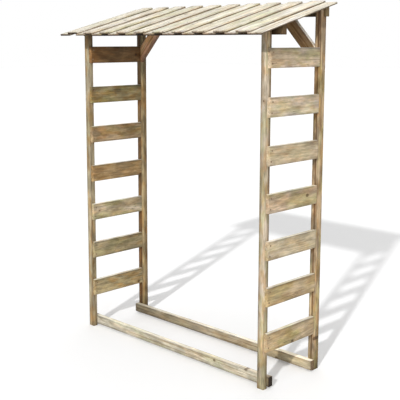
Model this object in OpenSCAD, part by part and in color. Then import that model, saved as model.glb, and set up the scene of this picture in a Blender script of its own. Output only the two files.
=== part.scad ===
// Log store: two slatted side frames joined by two floor rails and two purlins,
// under a sloping roof of board on board. The open front faces -Y and is the low
// side, +X is to the right and +Z is up. The origin is on the floor, under the
// middle of the roof.

/* [Side frames] */
// Length over the two side frames
frame_l = 1328; // [900:1:2000]
// Depth over the near and far posts
frame_d = 406; // [300:1:700]
// Height of a near post at its front face
near_h = 1691; // [1500:1:2100]

/* [Posts] */
// Width of a near post along the store
near_post_w = 40; // [30:1:60]
// Depth of a near post
near_post_d = 27; // [22:1:60]
// Width of a far post along the store
far_post_w = 32; // [22:1:45]
// Depth of a far post
far_post_d = 45; // [34:1:70]

/* [Slats] */
// Slats in one side frame
slat_n = 7; // [3:1:7]
// Height of a slat
slat_h = 90; // [60:1:120]
// Thickness of a slat
slat_t = 20; // [14:1:26]
// Height of the lowest slat above the floor
slat_z = 190; // [80:1:210]
// Drop from a near post's top to the top slat
slat_drop = 91; // [60:1:200]

/* [Rails] */
// Height of a floor rail
rail_h = 48; // [34:1:65]
// Thickness of a floor rail
rail_t = 28; // [20:1:40]
// Height of the floor rails above the floor
rail_z = 10; // [0:1:14]
// How much shorter a floor rail is than the store
rail_short = 20; // [0:1:60]

/* [Purlins] */
// Thickness of a purlin
purlin_t = 28; // [20:1:40]
// Height of the low purlin at its taller side
low_purlin_h = 48; // [34:1:70]
// Height of the high purlin at its taller side
high_purlin_h = 56; // [45:1:80]
// Distance from the roof's end to the end of the low purlin
low_purlin_inset = 8; // [0:1:40]
// How far the high purlin runs past each side frame
high_purlin_over = 10; // [0:1:20]

/* [Knee braces] */
// Width of a knee brace
brace_w = 62; // [36:1:80]
// Thickness of a knee brace, which must be less than a far post's depth
brace_t = 24; // [18:1:32]
// Slope of a knee brace from level
brace_slope = 47; // [38:1:55]
// Drop from the roof boards to where a brace's lower edge meets its post
brace_drop = 284; // [240:1:400]

/* [Roof] */
// Slope of the roof
roof_slope = 14.8; // [8:0.1:22]
// Boards in the roof's lower layer, with one less above
roof_n = 11; // [8:1:13]
// Width of a roof board
roof_board_w = 82; // [78:1:92]
// Thickness of a roof board
roof_board_t = 9; // [7:1:16]
// Overhang of the eave in front of the near posts
eave_over = 124; // [40:1:200]
// Overhang of the roof behind the high purlin
back_over = 11; // [0:1:40]
// Overhang of the roof past each side frame
end_over = 48; // [20:1:80]

/* [Finish] */
// Eased long edges of posts, rails, purlins and braces
batten_ease = 2; // [1:0.5:4]
// Eased long edges of slats and roof boards
board_ease = 1.5; // [0.5:0.5:3]

/* [Hidden] */
side_names = ["left", "right"];

// A side frame is as wide as its near post and the slats on that post's outer face.
frame_w = near_post_w + slat_t;
left_x = -frame_l / 2;
right_x = frame_l / 2 - frame_w;

// The high purlin is housed in the far posts' backs, flush with the backs of the braces.
housing_d = far_post_d - brace_t;

// The roof boards run from the eave to just behind the high purlin.
roof_run = eave_over + frame_d - housing_d + purlin_t + back_over;
roof_board_l = roof_run / cos(roof_slope);
roof_l = frame_l + 2 * end_over;
roof_step = (roof_l - roof_board_w) / (roof_n - 1);
roof_tip = 2 * roof_board_t * sin(roof_slope);

// The middle of the roof, square cut ends included, lies over y = 0.
eave_y = roof_tip - (roof_run + roof_tip) / 2;
front_y = eave_y + eave_over;
back_y = front_y + frame_d;
low_purlin_y = front_y + near_post_d;
high_purlin_y = back_y - housing_d;
far_post_y = back_y - far_post_d;
far_rail_y = far_post_y - rail_t;

slat_l = frame_d - far_post_d;
slat_step = (near_h - slat_drop - slat_h - slat_z) / (slat_n - 1);
rail_l = frame_l - rail_short;
low_purlin_l = roof_l - 2 * low_purlin_inset;
high_purlin_l = frame_l + 2 * high_purlin_over;
far_post_x = frame_w - far_post_w;
cut_spare = 40;

timber = [0.72, 0.63, 0.47];
light_timber = [0.84, 0.76, 0.6];
dark_timber = [0.55, 0.42, 0.28];
roof_timber = [0.93, 0.9, 0.8];

// Height of the plane under the lower roof boards
function seat_z(y) = near_h + (y - front_y) * tan(roof_slope);

// A sawn rectangle with its four corners eased
module eased(size, ease) {
    a = size[0];
    b = size[1];
    polygon([
        [ease, 0], [a - ease, 0], [a, ease], [a, b - ease],
        [a - ease, b], [ease, b], [0, b - ease], [0, ease]
    ]);
}

module bar_along_x(size, ease)
    rotate([90, 0, 90])
        linear_extrude(size[0])
            eased([size[1], size[2]], ease);

module bar_along_y(size, ease)
    translate([0, size[1], 0])
        rotate([90, 0, 0])
            linear_extrude(size[1])
                eased([size[0], size[2]], ease);

module bar_along_z(size, ease)
    linear_extrude(size[2])
        eased([size[0], size[1]], ease);

// Everything under the roof's seat plane, to cut tops to the slope
module under_roof()
    rotate([90, 0, 90])
        translate([0, 0, -roof_l])
            linear_extrude(2 * roof_l)
                polygon([
                    [eave_y, -cut_spare], [back_y + roof_run, -cut_spare],
                    [back_y + roof_run, seat_z(back_y + roof_run)], [eave_y, seat_z(eave_y)]
                ]);

// Post from the floor to the roof, its top bevelled to the roof's slope
module post(x, y, w, d)
    intersection() {
        translate([x, y, 0]) bar_along_z([w, d, seat_z(y + d) + cut_spare], batten_ease);
        under_roof();
    }

module near_post(x)
    color(light_timber)
        post(x, front_y, near_post_w, near_post_d);

module far_post(x)
    color(timber)
        difference() {
            post(x + far_post_x, far_post_y, far_post_w, far_post_d);
            purlin_blank(roof_l, high_purlin_y, high_purlin_h, 0);
        }

// Slat on the near post's outer face, with its far end against the far post
module slat(x, i)
    color(i % 2 == 0 ? timber : light_timber)
        translate([x + near_post_w, front_y, slat_z + (i - 1) * slat_step])
            bar_along_y([slat_t, slat_l, slat_h], board_ease);

module rail(x, y)
    color(timber)
        translate([x, y, rail_z])
            bar_along_x([rail_l, rail_t, rail_h], batten_ease);

// A purlin before its top is bevelled, also the shape of its housing in a post
module purlin_blank(l, y, h, ease)
    translate([-l / 2, y, seat_z(y + purlin_t) - h])
        bar_along_x([l, purlin_t, h + cut_spare], ease);

// Purlin with its top bevelled to the roof's slope
module purlin(l, y, h)
    color(dark_timber)
        intersection() {
            purlin_blank(l, y, h, batten_ease);
            under_roof();
        }

// Knee brace flush with the far posts' fronts, rising to the right from x. Its foot is
// mitred to the post, and its head lies on the high purlin, cut under the roof boards.
module brace(x)
    color(dark_timber)
        intersection() {
            translate([x, far_post_y, seat_z(high_purlin_y) - brace_drop])
                rotate([0, -brace_slope, 0])
                    translate([-brace_w, 0, 0])
                        bar_along_x([roof_l / 2, brace_t, brace_w], batten_ease);
            translate([x, far_post_y - cut_spare, 0])
                cube([roof_l, brace_t + 2 * cut_spare, near_h + frame_d]);
            under_roof();
        }

module brace_left() brace(left_x + frame_w);

module brace_right()
    mirror([1, 0, 0])
        brace(-right_x - far_post_x);

// Roof board of a layer, which is 0 for the lower boards and 1 for the upper ones
module roof_board(x, layer)
    color(roof_timber)
        translate([x, eave_y, seat_z(eave_y)])
            rotate([roof_slope, 0, 0])
                translate([0, 0, layer * roof_board_t])
                    bar_along_y([roof_board_w, roof_board_l, roof_board_t], board_ease);

module roof_lower(i) roof_board(-roof_l / 2 + (i - 1) * roof_step, 0);

module roof_upper(i) roof_board(-roof_l / 2 + (i - 0.5) * roof_step, 1);

near_post(left_x);  // post_near_left
near_post(right_x);  // post_near_right
far_post(left_x);  // post_far_left
far_post(right_x);  // post_far_right
brace_left();
brace_right();
rail(-rail_l / 2, low_purlin_y);  // rail_near
rail(left_x + far_post_x, far_rail_y);  // rail_far
purlin(low_purlin_l, low_purlin_y, low_purlin_h);  // purlin_low
purlin(high_purlin_l, high_purlin_y, high_purlin_h);  // purlin_high
for (i = [1:slat_n]) slat(left_x, i);
for (i = [1:slat_n]) slat(right_x, i);
for (i = [1:roof_n]) roof_lower(i);
for (i = [1:roof_n - 1]) roof_upper(i);
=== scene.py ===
import math

import bmesh
import bpy
from mathutils import Matrix, Vector


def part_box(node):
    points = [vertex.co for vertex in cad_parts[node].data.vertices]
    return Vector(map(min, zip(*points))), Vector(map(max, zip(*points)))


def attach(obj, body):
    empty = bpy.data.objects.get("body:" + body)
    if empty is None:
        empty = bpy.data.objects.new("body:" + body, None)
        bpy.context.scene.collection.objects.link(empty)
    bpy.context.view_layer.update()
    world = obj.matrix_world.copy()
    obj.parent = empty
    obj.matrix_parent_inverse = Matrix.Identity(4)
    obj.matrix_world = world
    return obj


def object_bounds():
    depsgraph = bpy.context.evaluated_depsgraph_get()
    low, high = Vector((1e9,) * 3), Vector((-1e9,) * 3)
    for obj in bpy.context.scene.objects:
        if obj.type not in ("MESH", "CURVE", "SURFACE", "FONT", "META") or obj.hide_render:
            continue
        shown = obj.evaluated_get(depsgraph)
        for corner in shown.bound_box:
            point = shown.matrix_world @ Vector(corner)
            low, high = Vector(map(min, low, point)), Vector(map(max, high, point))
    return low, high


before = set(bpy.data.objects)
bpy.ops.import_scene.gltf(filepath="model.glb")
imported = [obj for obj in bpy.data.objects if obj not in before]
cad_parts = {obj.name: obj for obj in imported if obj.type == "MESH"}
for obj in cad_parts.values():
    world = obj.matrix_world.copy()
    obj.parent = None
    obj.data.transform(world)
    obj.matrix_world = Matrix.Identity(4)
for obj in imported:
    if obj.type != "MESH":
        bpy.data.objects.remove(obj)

cad_box = [list(corner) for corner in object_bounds()]

# The roof's slope and the braces' slope, as in the part's source, in degrees.
ROOF_SLOPE = 14.8
BRACE_SLOPE = 47.0

# Camera: its place in metres, its pitch and yaw in degrees, and a lens and a shift for a
# frame of 400 pixels, where the focal length is 829 pixels.
CAMERA_PLACE = (3.011, -3.025, 1.627)
CAMERA_PITCH_DOWN = 8.67
CAMERA_YAW = 44.90
SENSOR_WIDTH = 36
CAMERA_LENS = 829 / 400 * SENSOR_WIDTH
CAMERA_SHIFT = (0.030, -0.080)

# Lamps: azimuth and height in degrees, strength, and how wide each looks in degrees.
LAMPS = {
    "key": (23.0, 30.0, 2.4, 2.0),
    "fill": (48.0, 15.0, 0.9, 40.0),
    "top": (0.0, 90.0, 0.8, 60.0),
    "back": (212.0, 20.0, 1.0, 80.0),
}
LAMP_DISTANCE = 6
# How strongly the white world lights the store. The camera sees it in full.
WORLD_STRENGTH = 0.25
# The floor: its white where the camera sees it, its white for the light that it bounces,
# its glow where it is seen, its roughness, and half its size in metres.
FLOOR_SEEN, FLOOR_BOUNCE, FLOOR_GLOW, FLOOR_ROUGHNESS = 0.91, 0.65, 0.10, 0.9
FLOOR_HALF_SIZE = 40.0

UP = Vector((0, 0, 1))
ALONG = Vector((1, 0, 0))
BACK = Vector((0, 1, 0))
WHITE = (1.0, 1.0, 1.0, 1.0)


def paint(code):
    """A colour written as six hex digits, as linear red, green, blue and alpha."""
    parts = [int(code[i:i + 2], 16) / 255 for i in (0, 2, 4)]
    linear = [p / 12.92 if p <= 0.04045 else ((p + 0.055) / 1.055) ** 2.4 for p in parts]
    return (*linear, 1.0)


def grey(level):
    return (level, level, level, 1.0)


class Graph:
    """Adds shader nodes to one tree. An input is a socket or a plain value."""

    def __init__(self, tree):
        self.tree = tree

    def feed(self, socket, value):
        if isinstance(value, bpy.types.NodeSocket):
            self.tree.links.new(value, socket)
        else:
            socket.default_value = value

    def add(self, kind, inputs=None, **settings):
        node = self.tree.nodes.new(kind)
        for name, value in settings.items():
            setattr(node, name, value)
        for key, value in (inputs or {}).items():
            self.feed(node.inputs[key], value)
        return node

    def math(self, operation, a, b=0.0, c=0.0, clamp=False):
        inputs = {0: a, 1: b, 2: c}
        node = self.add("ShaderNodeMath", inputs, operation=operation, use_clamp=clamp)
        return node.outputs[0]

    def plus(self, a, b):
        return self.math("ADD", a, b)

    def minus(self, a, b):
        return self.math("SUBTRACT", a, b)

    def times(self, a, b):
        return self.math("MULTIPLY", a, b)

    def over(self, a, b):
        return self.math("DIVIDE", a, b)

    def line(self, value, slope, start, clamp=False):
        """The value times the slope, plus the start."""
        return self.math("MULTIPLY_ADD", value, slope, start, clamp)

    def vector_math(self, operation, a, b):
        return self.add("ShaderNodeVectorMath", {0: a, 1: b}, operation=operation).outputs

    def split(self, vector):
        return self.add("ShaderNodeSeparateXYZ", {0: vector}).outputs

    def noise(self, vector, cells, detail, roughness=0.5):
        scaled = self.vector_math("MULTIPLY", vector, cells)[0]
        inputs = {"Vector": scaled, "Scale": 1.0, "Detail": detail, "Roughness": roughness}
        return self.add("ShaderNodeTexNoise", inputs).outputs

    def three_noises(self, vector, cells, detail, roughness):
        """Three numbers that have nothing to do with each other."""
        colour = self.noise(vector, cells, detail, roughness)["Color"]
        return self.add("ShaderNodeSeparateColor", {0: colour}).outputs

    def ease(self, value, low, high):
        """0 at low, 1 at high, and smooth between. Low may be the higher number."""
        inputs = {"Value": value, "From Min": low, "From Max": high}
        node = self.add("ShaderNodeMapRange", inputs, interpolation_type="SMOOTHSTEP")
        return node.outputs["Result"]

    def mix(self, amount, a, b, blend="MIX"):
        node = self.add("ShaderNodeMix", data_type="RGBA", blend_type=blend)
        self.feed(node.inputs[0], amount)
        self.feed(node.inputs[6], a)
        self.feed(node.inputs[7], b)
        return node.outputs[2]

    def stain(self, colour, amount, change):
        """The colour, turned by that amount into itself times the change."""
        return self.mix(amount, colour, self.mix(1.0, colour, (*change, 1.0), "MULTIPLY"))

    def shade(self, colour, factor):
        """The colour times one number."""
        factors = self.add("ShaderNodeCombineColor", {0: factor, 1: factor, 2: factor})
        return self.mix(1.0, colour, factors.outputs[0], "MULTIPLY")


def empty_material(name):
    material = bpy.data.materials.new(name)
    material.use_nodes = True
    material.node_tree.nodes.clear()
    return material, Graph(material.node_tree)


# What each thing in the wood and each painted shade does to its colour: red, green and
# blue are multiplied.
WARM = (0.94, 0.73, 0.50)
GREEN = (0.80, 0.90, 0.66)
SILVER = (1.06, 1.10, 1.28)
LATE = (0.52, 0.43, 0.33)
KNOT = (0.26, 0.19, 0.13)
# A dark strip down one edge of a face.
STRIP_TINT = (0.28, 0.19, 0.12)
DIRT = (0.48, 0.45, 0.32)
# The hue of ends darkened by their tint: partly end grain, partly painted shade.
DARK_END_HUE = (1.0, 0.66, 0.40)
# Painted shade down sides and on the lower part of ends, and darker wood near the ends.
DARKENING_TINT = (0.20, 0.145, 0.09)
# Painted shade under the roof.
ROOF_SHADE_TINT = (0.46, 0.36, 0.27)
# The colour that a purlin's end turns to: partly bleaching, partly painted light where the
# end comes out of the roof's shade.
PALE_END_BLEACH_AND_LIGHT = (0.46, 0.33, 0.17, 1.0)

# How far each step of a board's seed moves it through the noises, in metres along, across
# and through.
SEED_STEPS = (7.13, 3.71, 5.17)
# Knots: cells to a metre along and across. A knot runs right through the board.
KNOT_CELLS = (5.2, 7.0, 0.0)
# Noises: cells to a metre along, across and through, then the detail and the roughness.
DRIFT = ((1.5, 8.0, 8.0), 1.0)
WOBBLE = ((3.0, 45.0, 45.0), 2.0)
PATCHES = ((9.0, 26.0, 26.0), 6.0, 0.62)
GROWTH = ((5.5, 15.0, 15.0), 4.0, 0.60)
FIBRES = ((28.0, 520.0, 520.0), 3.0, 0.65)
GRAIN = ((14.0, 130.0, 130.0), 2.0, 0.6)
STREAKS = ((1.6, 75.0, 75.0), 3.0, 0.6)
CHECK_LINES = ((3.4, 130.0, 130.0), 1.0)
CHECK_ZONES = ((5.0, 17.0, 17.0), 1.0)

# What a noise from 0 to 1 is turned into, as a slope and a start.
KNOT_RADII = (0.035, 0.025)
LATE_DARKNESS = (0.7, 0.3)
BLOTCH_SHADE = (-1.0, 0.5)
FIBRE_SHADE = (0.60, 0.73)
GRAIN_SHADE = (1.0, 0.50)
EDGE_SHADE_PATCHES = (2.2, -0.4)
DIRT_PATCHES = (1.6, 0.1)
STRIP_GRAIN_SHADE = (0.6, 0.6)

# Where something starts to show, and where it shows in full. For noises, from 0 to 1, and
# for checks how far their noise is from its middle:
BLOTCH_SHOWS = (0.38, 0.62)
WARMTH_SHOWS = (0.46, 0.60)
ALGAE_SHOWS = (0.47, 0.61)
SILVER_SHOWS = (0.47, 0.60)
STREAK_SHOWS = (0.50, 0.68)
CHECK_ZONE_SHOWS = (0.56, 0.64)
CHECK_SHOWS = (0.016, 0.004)
NOISE_MIDDLE = 0.5
# For knots, in cells from the rim or the middle, and for late wood, as a share of a ring:
KNOT_SHOWS = (0.012, -0.012)
HALO_SHOWS = (0.10, 0.0)
SWELL_SHOWS = (0.36, 0.0)
LATE_SHOWS, LATE_STOPS = (0.30, 0.85), (1.0, 0.90)
# For the way that a surface looks, as the upward part of its normal:
FACING_UP = (0.3, 0.8)
FACING_DOWN = (-0.3, -0.8)
# For heights above the floor and for the dark strip's two edges, in metres:
FOOT_DIRT_SHOWS = (0.22, 0.0)
ROOF_SHADE_SHOWS = (1.54, 1.68)
STRIP_WIDTH_SHOWS = (0.003, -0.003)
STRIP_INSET_SHOWS = (-0.004, 0.0)
# For the painted shade down a side, as a share of the thickness below the face, and for
# the painted shade on an end's lower edge, from 1 at the face to -1 at the back:
SIDE_SHADE_SHOWS = (0.2, 0.6)
LOW_END_SHADE_SHOWS = (0.7, -0.4)

# Growth rings: how far they drift across and through and swell round a knot, in metres,
# and how far they wobble, in rings.
DRIFT_ACROSS, DRIFT_THROUGH, SWELL, RING_WOBBLE = 0.03, 0.02, 0.014, 0.7

# How much each mark darkens, and how much calmer the marks are on bleached wood.
LATE_AMOUNT, HALO_AMOUNT, KNOT_AMOUNT, CHECK_AMOUNT = 0.36, 0.4, 0.85, 0.6
BLEACHED_CALM = 0.40

# How far in from a limit a cut face still counts as one, and how far in the marks of ends
# and the painted shade along the corners reach, in metres.
END_MARGIN, SIDE_MARGIN = 0.0006, 0.0009
CREEP_REACH, PALE_END_REACH = 0.035, 0.06
EDGE_SHADE_ACROSS, EDGE_SHADE_THROUGH = 0.014, 0.008

# The surface: roughness, the saw's marks in radians to a metre, and the bump's heights.
ROUGHNESS, FIBRE_ROUGHNESS, KNOT_ROUGHNESS = 0.58, 0.22, -0.16
SAW_ALONG, SAW_ACROSS = 1250.0, 260.0
LATE_HEIGHT, FIBRE_HEIGHT, SAW_HEIGHT, KNOT_HEIGHT, CHECK_HEIGHT = 0.45, 0.9, 0.05, 0.5, -1.6
WOOD_BUMP, WOOD_BUMP_DEPTH, WOOD_GLOSS = 0.6, 0.0005, 0.25

GROUP_INPUTS = {
    "NodeSocketVector": ("Board", "Half", "Pith", "Slant"),
    "NodeSocketColor": ("Main", "Bleached"),
    "NodeSocketFloat": (
        "Seed", "Ring", "Bleaching", "Warmth", "Algae", "Silver", "Mottling", "Streaks",
        "Knots", "Side tint", "Side shade", "End tint", "End creep", "End bleach and light",
        "Low end shade", "Underside shade", "Edge shade", "Foot dirt", "Dark strip", "Strip width",
        "Strip inset", "Roof shade on face", "Roof shade on side",
    ),
}
GROUP_OUTPUTS = {
    "Color": "NodeSocketColor",
    "Roughness": "NodeSocketFloat",
    "Height": "NodeSocketFloat",
}


class Wood:
    """What the parts of the wood's graph share. Board coordinates are metres along, across
    and through the board from its middle, and half holds its half sizes in that order."""

    def __init__(self, g):
        self.g = g
        self.given = g.add("NodeGroupInput").outputs
        board = self.given["Board"]
        seed = self.given["Seed"]
        seeds = g.add("ShaderNodeCombineXYZ", {0: seed, 1: seed, 2: seed}).outputs[0]
        offset = g.vector_math("MULTIPLY", SEED_STEPS, seeds)[0]
        self.seeded = g.vector_math("ADD", board, offset)[0]
        self.along, self.across, self.through = g.split(board)
        self.half = g.split(self.given["Half"])
        geometry = g.add("ShaderNodeNewGeometry").outputs
        self.upward = g.split(geometry["Normal"])[2]
        self.above_floor = g.split(geometry["Position"])[2]
        self.far_along = g.math("ABSOLUTE", self.along)
        self.far_across = g.math("ABSOLUTE", self.across)
        self.far_through = g.math("ABSOLUTE", self.through)
        self.end = self.beyond(self.far_along, 0, END_MARGIN)
        self.side = self.beyond(self.far_across, 1, SIDE_MARGIN)
        self.face = self.beyond(self.through, 2, SIDE_MARGIN)
        self.patches = g.three_noises(self.seeded, *PATCHES)
        self.fibre = g.noise(self.seeded, *FIBRES)[0]
        self.grain = g.noise(self.seeded, *GRAIN)[0]

    def beyond(self, value, axis, margin):
        """1 within the margin of the board's limit on that axis, and 0 further in."""
        return self.g.math("GREATER_THAN", value, self.g.minus(self.half[axis], margin))

    def towards(self, value, axis, reach):
        """1 at the board's limit on that axis, easing to 0 at the reach further in."""
        inner = self.g.minus(self.half[axis], reach)
        return self.g.ease(self.g.minus(value, inner), 0.0, reach)


def knots(g, wood):
    """Where knots are, the darker halo round them, and how they push the rings aside."""
    place = g.vector_math("MULTIPLY", wood.seeded, KNOT_CELLS)[0]
    cells = g.add(
        "ShaderNodeTexVoronoi", {"Vector": place, "Scale": 1.0},
        voronoi_dimensions="2D", feature="F1",
    ).outputs
    dice = g.add("ShaderNodeSeparateColor", {0: cells["Color"]}).outputs
    here = g.math("LESS_THAN", dice[0], wood.given["Knots"])
    from_rim = g.minus(cells["Distance"], g.line(dice[1], *KNOT_RADII))
    knot = g.times(g.ease(from_rim, *KNOT_SHOWS), here)
    halo = g.times(g.ease(from_rim, *HALO_SHOWS), here)
    swell = g.times(g.ease(cells["Distance"], *SWELL_SHOWS), here)
    return knot, halo, swell


def late_wood(g, wood, swell):
    """The dark part of each growth ring, round a pith that may lie outside the board."""
    pith = g.split(wood.given["Pith"])
    drift = g.split(g.noise(wood.seeded, *DRIFT)["Color"])
    across = g.minus(g.line(drift[0], DRIFT_ACROSS, wood.across), pith[0])
    through = g.minus(g.line(drift[1], DRIFT_THROUGH, wood.through), pith[1])
    through = g.minus(through, g.times(wood.along, pith[2]))
    squares = g.plus(g.math("POWER", across, 2.0), g.math("POWER", through, 2.0))
    radius = g.line(swell, SWELL, g.math("SQRT", squares))
    count = g.over(radius, wood.given["Ring"])
    count = g.line(g.noise(wood.seeded, *WOBBLE)[0], RING_WOBBLE, count)
    phase = g.math("FRACT", count)
    late = g.times(g.ease(phase, *LATE_SHOWS), g.ease(phase, *LATE_STOPS))
    ring_seed = g.plus(g.math("FLOOR", count), wood.given["Seed"])
    dice = g.add("ShaderNodeTexWhiteNoise", {"W": ring_seed}, noise_dimensions="1D")
    return g.times(late, g.line(dice.outputs["Value"], *LATE_DARKNESS))


def drying_checks(g, wood):
    """Thin cracks along the grain, in a few zones."""
    off_line = g.minus(g.noise(wood.seeded, *CHECK_LINES)[0], NOISE_MIDDLE)
    off_line = g.math("ABSOLUTE", off_line)
    zone = g.ease(g.noise(wood.seeded, *CHECK_ZONES)[0], *CHECK_ZONE_SHOWS)
    return g.times(g.ease(off_line, *CHECK_SHOWS), zone)


def mottled(g, wood):
    """The board's colour, bleached where it looks up, with its patches, and how calm the
    marks are there."""
    given = wood.given
    growth = g.three_noises(wood.seeded, *GROWTH)
    bleach = g.times(g.ease(wood.upward, *FACING_UP), given["Bleaching"])
    calm = g.line(bleach, -BLEACHED_CALM, 1.0)
    colour = g.mix(bleach, given["Main"], given["Bleached"])
    for name, noise, shows, change in (
        ("Warmth", wood.patches[1], WARMTH_SHOWS, WARM),
        ("Algae", growth[0], ALGAE_SHOWS, GREEN),
        ("Silver", growth[1], SILVER_SHOWS, SILVER),
    ):
        amount = g.times(g.ease(noise, *shows), given[name])
        colour = g.stain(colour, g.times(amount, calm), change)
    mottle = g.line(g.ease(wood.patches[0], *BLOTCH_SHOWS), *BLOTCH_SHADE)
    mottle = g.times(g.times(mottle, given["Mottling"]), calm)
    return g.shade(colour, g.plus(mottle, 1.0)), calm


def grained(g, wood, colour, calm, late, knot, halo, check):
    """The colour with its late wood, streaks, knots, fibres and checks."""
    streak = g.ease(g.noise(wood.seeded, *STREAKS)[0], *STREAK_SHOWS)
    dark = g.line(late, LATE_AMOUNT, g.times(streak, wood.given["Streaks"]))
    dark = g.math("MAXIMUM", g.times(dark, calm), g.times(halo, HALO_AMOUNT))
    colour = g.stain(colour, dark, LATE)
    colour = g.stain(colour, g.times(knot, KNOT_AMOUNT), KNOT)
    colour = g.shade(colour, g.line(wood.fibre, *FIBRE_SHADE))
    colour = g.shade(colour, g.line(wood.grain, *GRAIN_SHADE))
    return g.shade(colour, g.line(check, -CHECK_AMOUNT, 1.0))


def edged(g, wood, colour):
    """The colour with its paler and darker ends, and painted shade along its long corners,
    down its sides and on its underside.
    """
    given = wood.given
    # Purlin ends turn paler: partly bleaching, partly painted light out of the roof's shade.
    pale = g.times(wood.towards(wood.far_along, 0, PALE_END_REACH), given["End bleach and light"])
    colour = g.mix(pale, colour, PALE_END_BLEACH_AND_LIGHT)
    creep = g.times(wood.towards(wood.far_along, 0, CREEP_REACH), given["End creep"])
    colour = g.stain(colour, creep, DARKENING_TINT)
    # Painted shade along the long corners, in patches.
    corner = g.times(
        wood.towards(wood.far_across, 1, EDGE_SHADE_ACROSS),
        wood.towards(wood.far_through, 2, EDGE_SHADE_THROUGH),
    )
    edge_shade = g.times(corner, g.line(wood.patches[2], *EDGE_SHADE_PATCHES, clamp=True))
    colour = g.shade(colour, g.minus(1.0, g.times(edge_shade, given["Edge shade"])))
    # Painted shade down a side, growing towards the back of the board.
    depth = g.over(g.minus(wood.half[2], wood.through), g.times(wood.half[2], 2.0))
    side_shade = g.times(g.ease(depth, *SIDE_SHADE_SHOWS), g.times(wood.side, given["Side shade"]))
    colour = g.stain(colour, side_shade, DARKENING_TINT)
    # Painted shade on faces that look down.
    underside = g.times(g.ease(wood.upward, *FACING_DOWN), given["Underside shade"])
    return g.shade(colour, g.minus(1.0, underside))


def dirt_strip_and_roof_shade(g, wood, colour):
    """The colour with dirt at its foot, painted shade under the roof at its top, and a dark
    strip along one edge of its face."""
    given = wood.given
    foot = g.times(g.ease(wood.above_floor, *FOOT_DIRT_SHOWS), given["Foot dirt"])
    foot = g.times(foot, g.line(wood.patches[2], *DIRT_PATCHES, clamp=True))
    colour = g.stain(colour, foot, DIRT)
    # Painted shade under the roof, darker towards the top of faces and sides.
    roof_shade = g.minus(given["Roof shade on side"], given["Roof shade on face"])
    roof_shade = g.line(wood.side, roof_shade, given["Roof shade on face"])
    top = g.times(g.ease(wood.above_floor, *ROOF_SHADE_SHOWS), roof_shade)
    colour = g.stain(colour, top, ROOF_SHADE_TINT)
    # A dark strip along one edge of the face.
    past_width = g.minus(wood.across, g.minus(given["Strip width"], wood.half[1]))
    past_inset = g.minus(wood.across, g.minus(given["Strip inset"], wood.half[1]))
    strip = g.times(g.ease(past_width, *STRIP_WIDTH_SHOWS), given["Dark strip"])
    strip = g.times(strip, g.ease(past_inset, *STRIP_INSET_SHOWS))
    strip = g.times(g.times(strip, wood.face), g.line(wood.grain, *STRIP_GRAIN_SHADE))
    return g.stain(colour, strip, STRIP_TINT)


def cut(g, wood, colour):
    """The colour with its slant, painted shade on the lower part of its ends, and the tints
    of its cut sides and ends, which paint light and shade on them as well as their tone.
    """
    given = wood.given
    share = g.vector_math("DIVIDE", given["Board"], given["Half"])[0]
    slant = g.vector_math("DOT_PRODUCT", share, given["Slant"])["Value"]
    colour = g.shade(colour, g.plus(slant, 1.0))
    # Painted shade on the lower part of each end.
    low_end_shade = g.ease(g.over(wood.through, wood.half[2]), *LOW_END_SHADE_SHOWS)
    low_end_shade = g.times(g.times(low_end_shade, wood.end), given["Low end shade"])
    colour = g.stain(colour, low_end_shade, DARKENING_TINT)
    # These tints paint light and shade on the sides and ends as well as their tone.
    for where, tint in ((wood.side, "Side tint"), (wood.end, "End tint")):
        colour = g.shade(colour, g.line(where, g.minus(given[tint], 1.0), 1.0))
    # Ends that their tint darkens, partly as painted shade, take a warmer hue.
    dark_end = g.times(wood.end, g.minus(1.0, given["End tint"]))
    return g.stain(colour, dark_end, DARK_END_HUE)


def relief(g, wood, late, knot, check):
    """The roughness, and the height that the bump is made from."""
    roughness = g.line(wood.fibre, FIBRE_ROUGHNESS, ROUGHNESS)
    roughness = g.line(knot, KNOT_ROUGHNESS, roughness)
    saw = g.math("SINE", g.line(wood.across, SAW_ACROSS, g.times(wood.along, SAW_ALONG)))
    height = g.line(late, LATE_HEIGHT, g.times(wood.fibre, FIBRE_HEIGHT))
    height = g.line(saw, SAW_HEIGHT, height)
    height = g.line(knot, KNOT_HEIGHT, height)
    return roughness, g.line(check, CHECK_HEIGHT, height)


def wood_group():
    """Sawn, pressure treated softwood as a solid: growth rings round a pith, knots that
    push the rings aside, fibres, stains, checks, weathered ends, and painted light and shade
    on its ends, sides, corners and underside and under the roof."""
    tree = bpy.data.node_groups.new("sawn_wood", "ShaderNodeTree")
    for kind, names in GROUP_INPUTS.items():
        for name in names:
            tree.interface.new_socket(name, in_out="INPUT", socket_type=kind)
    for name, kind in GROUP_OUTPUTS.items():
        tree.interface.new_socket(name, in_out="OUTPUT", socket_type=kind)
    g = Graph(tree)
    wood = Wood(g)
    knot, halo, swell = knots(g, wood)
    late = late_wood(g, wood, swell)
    check = drying_checks(g, wood)
    colour, calm = mottled(g, wood)
    colour = grained(g, wood, colour, calm, late, knot, halo, check)
    colour = cut(g, wood, dirt_strip_and_roof_shade(g, wood, edged(g, wood, colour)))
    roughness, height = relief(g, wood, late, knot, check)
    g.add("NodeGroupOutput", {"Color": colour, "Roughness": roughness, "Height": height})
    return tree


# The main colour of each board, the slats counted from the bottom one.
LEFT_SLATS = ["a79772", "9f906d", "b6a687", "a1865c", "a08968", "90825f", "765b3a"]
RIGHT_SLATS = ["bea882", "bea881", "c3b496", "c4af94", "c0af93", "cdbda4", "bba98f"]
BOARDS = {
    "post_near_left": "a79a7e",
    "post_near_right": "b7a994",
    "post_far_left": "b5a17a",
    "post_far_right": "b49f80",
    # The left brace's colour is paler than its wood: painted light against the roof's shade.
    "brace_left": "dbac8b",
    "brace_right": "9d8059",
    "rail_near": "c0b8a4",
    "rail_far": "a1947b",
    # The purlins' colours are darkened as painted shade under the roof.
    "purlin_low": "3e290e",
    "purlin_high": "4c3f27",
}
ROOF = "ddd5c5"
BLEACHED = "d9d3c2"
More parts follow.
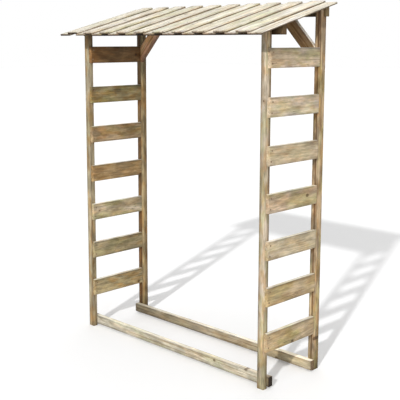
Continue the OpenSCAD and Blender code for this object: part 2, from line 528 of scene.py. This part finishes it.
# How much paler the roof is at its right end than in its middle.
ROOF_FADING = 0.08

# How every board weathers, and the light and shade painted on it, before its place changes
# it. The two tints multiply the colour of its sides and its ends, and paint light and shade
# on them as well as their tone. The dark strip's width and inset are metres from the low
# limit of across. Slant is how much paler a board is at the high limits of along, across and
# through than in its middle. The rest are amounts from 0 to 1.
EVERY_BOARD = {
    "Bleaching": 0.9,
    "Mottling": 0.40,
    "Streaks": 0.75,
    "Knots": 0.45,
    "Side tint": 1.0,
    "Side shade": 0.0,
    "End tint": 0.8,
    "End creep": 0.15,
    "End bleach and light": 0.0,
    "Low end shade": 0.0,
    "Underside shade": 0.2,
    "Edge shade": 0.5,
    "Foot dirt": 0.0,
    "Dark strip": 0.0,
    "Strip width": 0.0,
    "Strip inset": 0.0,
    "Roof shade on face": 0.0,
    "Roof shade on side": 0.0,
    "Slant": (0.0, 0.0, 0.0),
}
ROOF_TINTS = {"Side tint": 1.35, "End tint": 0.95}
# Ends darkened nearly to black.
DARK_ENDS = {"End tint": 0.15}

# What a board's place changes. A key that ends in _ holds for each board whose name starts
# with it, and any other key for the one board that it names. Later ones win.
PLACES = {
    "roof_": {
        **ROOF_TINTS,
        "Side shade": 0.8,
        "Low end shade": 0.9,
        "Underside shade": 0.85,
        "Edge shade": 0.35,
        "Warmth": 0.45,
    },
    # The lower roof boards' sides are darkened as painted shade under the upper boards.
    "roof_lower_": {"Side tint": 0.3, "End tint": 0.75},
    "roof_lower_1": {**ROOF_TINTS, **DARK_ENDS, "Side shade": 0.95},
    "roof_lower_11": {**ROOF_TINTS, "Side shade": 0.95},
    "roof_upper_1": DARK_ENDS,
    "post_near_": {"Side shade": 0.6, "Edge shade": 0.45, "Foot dirt": 0.25, "Silver": 0.3},
    "post_near_left": {
        "Side shade": 0.3,
        "Roof shade on face": 0.85,
        "Roof shade on side": 0.85,
        "Slant": (0.0, -0.08, 0.0),
    },
    "post_near_right": {"Slant": (0.0, -0.32, 0.0)},
    "post_far_": {
        "Mottling": 0.7,
        "Side shade": 0.6,
        "Foot dirt": 0.9,
        "Dark strip": 1.0,
        "Roof shade on face": 0.8,
        "Roof shade on side": 0.15,
    },
    "post_far_left": {"Strip width": 0.030, "Warmth": 0.9, "Algae": 0.1, "Silver": 0.15},
    "post_far_right": {
        "Side tint": 1.06,
        "Side shade": 0.25,
        "Strip width": 0.016,
        "Strip inset": 0.009,
        "Slant": (0.0, -0.10, 0.0),
    },
    # The braces are paler on their fronts than on their backs: painted light against the
    # roof's shade on the fronts.
    "brace_": {"Slant": (0.0, 0.0, 0.25)},
    "brace_left": {"Side tint": 0.45},
    # The right brace's upper edge is brightened as a painted highlight in the roof's shade.
    "brace_right": {"Side tint": 1.75, "Roof shade on face": 0.5},
    # The rails' tops are brightened as painted light, and their ends darkened nearly to black
    # as painted shade.
    "rail_": {"Side tint": 1.32, "End tint": 0.12, "End creep": 0.9},
    "rail_near": {"Warmth": 0.3, "Algae": 0.4, "Silver": 0.15, "Slant": (0.0, 0.12, 0.0)},
    # The far rail is paler towards its right end: painted light against the right frame's
    # shadow on it.
    "rail_far": {
        "End tint": 0.45,
        "End creep": 0.25,
        "Warmth": 0.4,
        "Algae": 0.2,
        "Silver": 0.4,
        "Slant": (0.5, 0.08, 0.0),
    },
    # The purlins' ends are paler: partly bleaching, partly painted light out of the roof's
    # shade.
    "purlin_low": {"End creep": 0.0, "End bleach and light": 0.2},
    "purlin_high": {"End tint": 1.0, "End creep": 0.0, "End bleach and light": 0.5},
    # The slats' tops are brightened as painted light.
    "slat_": {
        "Mottling": 0.55,
        "Streaks": 0.35,
        "Side tint": 1.3,
        "End tint": 0.95,
        "End creep": 0.05,
        "Edge shade": 0.45,
    },
    "slat_left_": {"Slant": (-0.12, -0.12, 0.0)},
    "slat_left_7": {"End tint": 1.5},
    "slat_right_": {"Mottling": 0.38, "Warmth": 0.4, "Slant": (-0.04, -0.06, 0.0)},
    # The top right slat's end is brightened as painted light against the eave's shadow.
    "slat_right_7": {"End tint": 1.1, "Slant": (0.0, -0.28, 0.0)},
}

# How boards differ. The seed goes up by a step from board to board. The rest follow a sine
# or a cosine of the board's number, each at its own pace round a middle value.
SEED_START, SEED_STEP = 1.0, 0.37
SWING_PACE, FRESH_PACE, LEAN_PACE, PITH_PACE = 5.1, 2.7, 2.3, 3.3
FRESH_SPREAD = 0.05
WARMTH, WARMTH_SPREAD = 0.65, 0.25
ALGAE, ALGAE_SPREAD = 0.50, 0.30
SILVERING, SILVERING_SPREAD = 0.60, 0.30
# The width of a growth ring, and how far across and through the board its pith is, in
# metres. The pith leans through the board by up to PITH_LEAN for each metre along.
RING_WIDTH = 0.0045
PITH_ACROSS, PITH_LEAN = 0.03, 0.05
PITH_THROUGH, PITH_THROUGH_SPREAD = 0.03, 0.02


def colour_of(name):
    family, number = name.rsplit("_", 1)
    if family == "slat_left":
        return LEFT_SLATS[int(number) - 1]
    if family == "slat_right":
        return RIGHT_SLATS[int(number) - 1]
    return ROOF if name.startswith("roof") else BOARDS[name]


def weathering_and_painted_light(name):
    """How every board weathers and the light and shade painted on it, with what this one's
    place changes.
    """
    facts = dict(EVERY_BOARD)
    for key, changes in PLACES.items():
        if name == key or (key.endswith("_") and name.startswith(key)):
            facts.update(changes)
    return facts


def directions(name):
    """The way along a board and the way out of its main face."""
    roof = math.radians(ROOF_SLOPE)
    brace = math.radians(BRACE_SLOPE)
    if name.startswith("roof"):
        along = Vector((0, math.cos(roof), math.sin(roof)))
        return along, Vector((0, -math.sin(roof), math.cos(roof)))
    if name.startswith("brace"):
        side = 1 if name.endswith("left") else -1
        return Vector((side * math.cos(brace), 0, math.sin(brace))), -BACK
    if name.startswith("post"):
        return UP, -BACK
    if name.startswith("slat"):
        return BACK, ALONG
    return ALONG, -BACK


def board_space(name, node):
    """The board's own axes, its middle and its half sizes."""
    along, out = directions(name)
    axes = Matrix((along, out.cross(along), out))
    points = [axes @ vertex.co for vertex in node.data.vertices]
    low = Vector([min(p[i] for p in points) for i in range(3)])
    high = Vector([max(p[i] for p in points) for i in range(3)])
    return axes.transposed(), axes.transposed() @ ((low + high) / 2), (high - low) / 2


def bleached_colour(name, middle, number):
    """What the top of a board bleaches to, a little different on each."""
    fresh = 1.0 + FRESH_SPREAD * math.sin(FRESH_PACE * number)
    if name.startswith("roof"):
        fresh += ROOF_FADING * middle.x / cad_box[1][0]
    return (*[fresh * level for level in paint(BLEACHED)[:3]], 1.0)


def board_values(name, middle, half, number):
    """What a board feeds to the wood's group. Its weathering and painted light and shade come
    last and win.
    """
    swing = math.sin(SWING_PACE * number)
    lean = math.cos(LEAN_PACE * number)
    pith_through = PITH_THROUGH + PITH_THROUGH_SPREAD * math.cos(PITH_PACE * number)
    return {
        "Half": half,
        "Seed": SEED_START + SEED_STEP * number,
        "Pith": Vector((PITH_ACROSS * swing, pith_through, PITH_LEAN * swing)),
        "Ring": RING_WIDTH,
        "Main": paint(colour_of(name)),
        "Bleached": bleached_colour(name, middle, number),
        "Warmth": WARMTH + WARMTH_SPREAD * swing,
        "Algae": ALGAE + ALGAE_SPREAD * lean,
        "Silver": SILVERING - SILVERING_SPREAD * swing,
        **weathering_and_painted_light(name),
    }


def board_material(name, node, group, number):
    material, g = empty_material("wood_" + name)
    axes, middle, half = board_space(name, node)
    place = g.add("ShaderNodeMapping", {
        "Vector": g.add("ShaderNodeTexCoord").outputs["Object"],
        "Location": middle,
        "Rotation": axes.to_euler(),
    }, vector_type="TEXTURE")
    wood = g.add("ShaderNodeGroup", node_tree=group)
    g.feed(wood.inputs["Board"], place.outputs[0])
    for key, value in board_values(name, middle, half, number).items():
        g.feed(wood.inputs[key], value)
    bump = g.add("ShaderNodeBump", {
        "Height": wood.outputs["Height"],
        "Strength": WOOD_BUMP,
        "Distance": WOOD_BUMP_DEPTH,
    })
    shader = g.add("ShaderNodeBsdfPrincipled", {
        "Base Color": wood.outputs["Color"],
        "Roughness": wood.outputs["Roughness"],
        "Normal": bump.outputs[0],
        "Specular IOR Level": WOOD_GLOSS,
    })
    g.add("ShaderNodeOutputMaterial", {"Surface": shader.outputs[0]})
    return material


def dress_boards():
    group = wood_group()
    for number, name in enumerate(sorted(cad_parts)):
        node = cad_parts[name]
        material = board_material(name, node, group, number)
        if not node.material_slots:
            node.data.materials.append(material)
        for slot in node.material_slots:
            slot.material = material


# Where the screws and nails are, in metres. In each slat: up from its middle, and aside.
SLAT_PAIR = ((-0.025, -0.003), (0.025, 0.002))
# The frame's screws stand in pairs: how far each is aside, and half the gap between them.
# The middle of a pair is that far above a purlin's underside, or up a brace from its foot.
PAIR_ASIDE = 0.008
RAIL_HALF_GAP = 0.011
LOW_PURLIN_SCREWS, LOW_PURLIN_HALF_GAP = 0.023, 0.011
HIGH_PURLIN_SCREWS, HIGH_PURLIN_HALF_GAP = 0.026, 0.013
BRACE_SCREWS, BRACE_HALF_GAP, BRACE_ASIDE = 0.055, 0.015, 0.005
# How far in from the edges of an upper roof board its nails are.
NAIL_INSET = 0.008


class Box:
    """The lowest and the highest corner of the box round a board, and its middle."""

    def __init__(self, name):
        low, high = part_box(name)
        self.low, self.high = Vector(low), Vector(high)
        self.middle = (self.low + self.high) / 2


def slat_screws():
    """Two through each slat into its near post, and two from behind into its far end."""
    places = []
    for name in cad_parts:
        if name.startswith("slat"):
            side = name.split("_")[1]
            slat = Box(name)
            near_y = Box("post_near_" + side).middle.y
            back_y = Box("post_far_" + side).high.y
            for rise, aside in SLAT_PAIR:
                up = slat.middle.z + rise
                places.append((Vector((slat.high.x, near_y + aside, up)), ALONG))
                places.append((Vector((slat.middle.x + aside, back_y, up)), BACK))
    return places


def frame_screws():
    """From behind through the rails, purlins and posts, and up through the braces' feet."""
    places = []
    rail, low_purlin, high_purlin = Box("rail_near"), Box("purlin_low"), Box("purlin_high")
    for side, turn in (("left", 1), ("right", -1)):
        near_x = Box("post_near_" + side).middle.x
        far_post = Box("post_far_" + side)
        far_x = far_post.middle.x
        for step in (-1, 1):
            aside = PAIR_ASIDE * step * turn
            up_rail = rail.middle.z + RAIL_HALF_GAP * step
            up_low = low_purlin.low.z + LOW_PURLIN_SCREWS + LOW_PURLIN_HALF_GAP * step
            up_high = high_purlin.low.z + HIGH_PURLIN_SCREWS + HIGH_PURLIN_HALF_GAP * step
            head_x = brace_head(side, high_purlin.low.z) - 2 * aside
            for place in (
                (near_x + aside, rail.high.y, up_rail),
                (far_x + aside, far_post.high.y, up_rail),
                (near_x + aside, low_purlin.high.y, up_low),
                (far_x + aside, high_purlin.high.y, up_high),
                (head_x, high_purlin.high.y, up_high),
            ):
                places.append((Vector(place), BACK))
            up_brace = BRACE_SCREWS + BRACE_HALF_GAP * step
            places.append(brace_foot(side, turn, up_brace, BRACE_ASIDE * step))
    return places


def brace_head(side, above):
    """How far along the store a brace's head is, from its corners above that height."""
    head = [v.co.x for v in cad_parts["brace_" + side].data.vertices if v.co.z > above]
    return sum(head) / len(head)


def brace_foot(side, turn, along, aside):
    """A point on a brace's underside, that far up from its foot, and the way out there."""
    brace = Box("brace_" + side)
    slope = math.radians(BRACE_SLOPE)
    foot_x = brace.low.x if turn > 0 else brace.high.x
    foot = Vector((foot_x, brace.middle.y + aside, brace.low.z))
    up_brace = Vector((turn * math.cos(slope), 0, math.sin(slope)))
    return foot + along * up_brace, Vector((turn * math.sin(slope), 0, -math.cos(slope)))


def roof_nails():
    """One in each lower board at each purlin, and two in each upper one, near its edges."""
    places = []
    lines = [Box("purlin_low").middle.y, Box("purlin_high").middle.y]
    for name, node in sorted(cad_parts.items()):
        if not name.startswith("roof"):
            continue
        middle, half = board_space(name, node)[1:]
        along, out = directions(name)
        top = middle + half.z * out
        near_edge = half.y - NAIL_INSET
        asides = (0.0,) if name.startswith("roof_lower") else (-near_edge, near_edge)
        for y in lines:
            on_line = top + along * ((y - top.y) / along.y)
            for aside in asides:
                places.append((on_line + aside * ALONG, out))
    return places


# Screw and nail heads, in metres: the radius, how far they stand proud, and how far their
# lowest ring is under the wood.
SCREW_RADIUS, SCREW_PROUD = 0.0042, 0.0008
NAIL_RADIUS, NAIL_PROUD = 0.0033, 0.0005
SUNK = 0.0008
SCREW_CORNERS, NAIL_CORNERS = 24, 16
# A head's rings from the lowest up: a share of the radius, and a height.
SCREW_RINGS = (
    (1.0, -SUNK),
    (1.0, 0.3 * SCREW_PROUD),
    (0.92, 0.6 * SCREW_PROUD),
    (0.72, SCREW_PROUD),
)
NAIL_RINGS = (
    (1.0, -SUNK),
    (1.0, 0.55 * NAIL_PROUD),
    (0.86, 0.9 * NAIL_PROUD),
    (0.4, NAIL_PROUD),
)
# The cross recess in a screw: reach from the middle, half a bar's width, depth, and how
# much smaller it is at its base.
RECESS_REACH, RECESS_HALF, RECESS_DEPTH, RECESS_TAPER = 0.0024, 0.0005, 0.0006, 0.8
# Radians that a head is turned for each metre of its place.
HEAD_TURN = 400.0


def bridge(mesh, lower, upper):
    count = len(lower)
    for i in range(count):
        j = (i + 1) % count
        mesh.faces.new((lower[i], lower[j], upper[j], upper[i]))


def head_axes(place, out):
    """Two axes across a head, turned by its place so that no two heads line up."""
    turn = HEAD_TURN * (place.x + place.y + place.z)
    first = out.orthogonal().normalized()
    second = out.cross(first)
    across = math.cos(turn) * first + math.sin(turn) * second
    return across, math.cos(turn) * second - math.sin(turn) * first


def add_dome(mesh, place, out, radius, rings, count):
    """A head's rings of corners, joined from the lowest up. Gives back the top one."""
    across, up = head_axes(place, out)
    turns = [2 * math.pi * i / count for i in range(count)]
    ways = [math.cos(turn) * across + math.sin(turn) * up for turn in turns]
    last = None
    for share, height in rings:
        ring = [mesh.verts.new(place + share * radius * way + height * out) for way in ways]
        if last:
            bridge(mesh, last, ring)
        last = ring
    return last


def add_nail(mesh, place, out):
    mesh.faces.new(add_dome(mesh, place, out, NAIL_RADIUS, NAIL_RINGS, NAIL_CORNERS))


def recess_outline():
    """The twelve corners of a cross, as two numbers across the head."""
    reach, half = RECESS_REACH, RECESS_HALF
    quarter = [(reach, -half), (reach, half), (half, half)]
    corners = []
    for _ in range(4):
        corners += quarter
        quarter = [(-y, x) for x, y in quarter]
    return corners


def add_screw(mesh, place, out):
    """A low domed countersunk head with a cross recess."""
    rim = add_dome(mesh, place, out, SCREW_RADIUS, SCREW_RINGS, SCREW_CORNERS)
    across, up = head_axes(place, out)
    base_height = SCREW_PROUD - RECESS_DEPTH
    edge, base = [], []
    for x, y in recess_outline():
        edge.append(mesh.verts.new(place + x * across + y * up + SCREW_PROUD * out))
    for x, y in recess_outline():
        corner = RECESS_TAPER * (x * across + y * up)
        base.append(mesh.verts.new(place + corner + base_height * out))
    for i in range(len(edge)):
        j = (i + 1) % len(edge)
        outer = [rim[(2 * i + k - 1) % SCREW_CORNERS] for k in range(3)]
        mesh.faces.new((edge[i], outer[0], outer[1]))
        mesh.faces.new((edge[i], outer[1], edge[j]))
        mesh.faces.new((edge[j], outer[1], outer[2]))
    bridge(mesh, edge, base)
    mesh.faces.new(base)


# Metals: noises of the rust's patches and of a fine grain, and where rust starts and is full.
RUST = ((310.0, 310.0, 310.0), 3.0, 0.6)
METAL_GRAIN = ((2600.0, 2600.0, 2600.0), 2.0)
RUST_SHOWS = (0.62, 0.72)
# What the grain and the rust turn into, as a slope and a start.
METAL_SHADE = (0.5, 0.75)
METALLIC = (-0.8, 0.9)
METAL_ROUGHNESS = (0.35, 0.45)
METAL_BUMP, METAL_BUMP_DEPTH = 0.4, 0.0001


def metal_material(name, bright, rust, rusted):
    """Dull zinc or steel, with rust in patches. A higher rusted gives more of them."""
    material, g = empty_material(name)
    place = g.add("ShaderNodeTexCoord").outputs["Object"]
    patch = g.noise(place, *RUST)[0]
    grain = g.noise(place, *METAL_GRAIN)[0]
    worn = g.ease(patch, *[level - rusted for level in RUST_SHOWS])
    colour = g.mix(worn, paint(bright), paint(rust))
    bump = g.add("ShaderNodeBump", {
        "Height": grain,
        "Strength": METAL_BUMP,
        "Distance": METAL_BUMP_DEPTH,
    })
    shader = g.add("ShaderNodeBsdfPrincipled", {
        "Base Color": g.shade(colour, g.line(grain, *METAL_SHADE)),
        "Metallic": g.line(worn, *METALLIC),
        "Roughness": g.line(worn, *METAL_ROUGHNESS),
        "Normal": bump.outputs[0],
    })
    g.add("ShaderNodeOutputMaterial", {"Surface": shader.outputs[0]})
    return material


def make_heads(name, places, add_head, material):
    mesh = bmesh.new()
    for place, out in places:
        add_head(mesh, place, out)
    bmesh.ops.recalc_face_normals(mesh, faces=mesh.faces)
    data = bpy.data.meshes.new(name)
    mesh.to_mesh(data)
    mesh.free()
    data.materials.append(material)
    piece = bpy.data.objects.new(name, data)
    bpy.context.collection.objects.link(piece)
    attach(piece, "root")


def seen_directly(g):
    """1 for what the camera sees, also in a gloss or through glass."""
    path = g.add("ShaderNodeLightPath").outputs
    seen = g.math("MAXIMUM", path["Is Camera Ray"], path["Is Glossy Ray"])
    return g.math("MAXIMUM", seen, path["Is Transmission Ray"])


def floor_material():
    """White where the camera sees it, and darker where it lights the store."""
    material, g = empty_material("floor_white")
    seen = seen_directly(g)
    shader = g.add("ShaderNodeBsdfPrincipled", {
        "Base Color": g.mix(seen, grey(FLOOR_BOUNCE), grey(FLOOR_SEEN)),
        "Roughness": FLOOR_ROUGHNESS,
        "Specular IOR Level": 0.0,
        "Emission Color": WHITE,
        "Emission Strength": g.times(seen, FLOOR_GLOW),
    })
    g.add("ShaderNodeOutputMaterial", {"Surface": shader.outputs[0]})
    return material


def make_floor():
    mesh = bpy.data.meshes.new("floor")
    half = FLOOR_HALF_SIZE
    corners = [(-half, -half, 0), (half, -half, 0), (half, half, 0), (-half, half, 0)]
    mesh.from_pydata(corners, [], [(0, 1, 2, 3)])
    mesh.materials.append(floor_material())
    floor = bpy.data.objects.new("floor", mesh)
    bpy.context.collection.objects.link(floor)


def make_world():
    world = bpy.data.worlds.new("studio")
    bpy.context.scene.world = world
    world.use_nodes = True
    world.node_tree.nodes.clear()
    g = Graph(world.node_tree)
    strength = g.line(seen_directly(g), 1.0 - WORLD_STRENGTH, WORLD_STRENGTH)
    sky = g.add("ShaderNodeBackground", {"Color": WHITE, "Strength": strength})
    g.add("ShaderNodeOutputWorld", {"Surface": sky.outputs[0]})


def add_sun(name, azimuth, height, strength, angle):
    """A far lamp. Azimuth 0 stands in front of the store and 90 to its right."""
    lamp = bpy.data.lights.new(name, "SUN")
    lamp.energy = strength
    lamp.angle = math.radians(angle)
    sun = bpy.data.objects.new(name, lamp)
    bpy.context.collection.objects.link(sun)
    turn, rise = math.radians(azimuth), math.radians(height)
    right, front = math.sin(turn) * math.cos(rise), math.cos(turn) * math.cos(rise)
    to_lamp = Vector((right, -front, math.sin(rise)))
    sun.rotation_euler = to_lamp.to_track_quat("Z", "Y").to_euler()
    sun.location = to_lamp * LAMP_DISTANCE


def make_camera():
    data = bpy.data.cameras.new("camera")
    data.sensor_width = SENSOR_WIDTH
    data.lens = CAMERA_LENS
    data.shift_x, data.shift_y = CAMERA_SHIFT
    camera = bpy.data.objects.new("camera", data)
    bpy.context.collection.objects.link(camera)
    camera.location = CAMERA_PLACE
    tilt = math.radians(90 - CAMERA_PITCH_DOWN)
    camera.rotation_euler = (tilt, 0, math.radians(CAMERA_YAW))
    bpy.context.scene.camera = camera


bpy.context.scene.view_settings.view_transform = "Standard"
make_camera()
make_world()
make_floor()
for lamp_name, lamp_facts in LAMPS.items():
    add_sun(lamp_name, *lamp_facts)
dress_boards()
zinc = metal_material("dull_zinc", bright="9c9079", rust="7d5f42", rusted=0.22)
nail_steel = metal_material("nail_steel", bright="6f665a", rust="44301f", rusted=0.18)
make_heads("slat_screws", slat_screws(), add_screw, zinc)
make_heads("frame_screws", frame_screws(), add_screw, zinc)
make_heads("roof_nails", roof_nails(), add_nail, nail_steel)
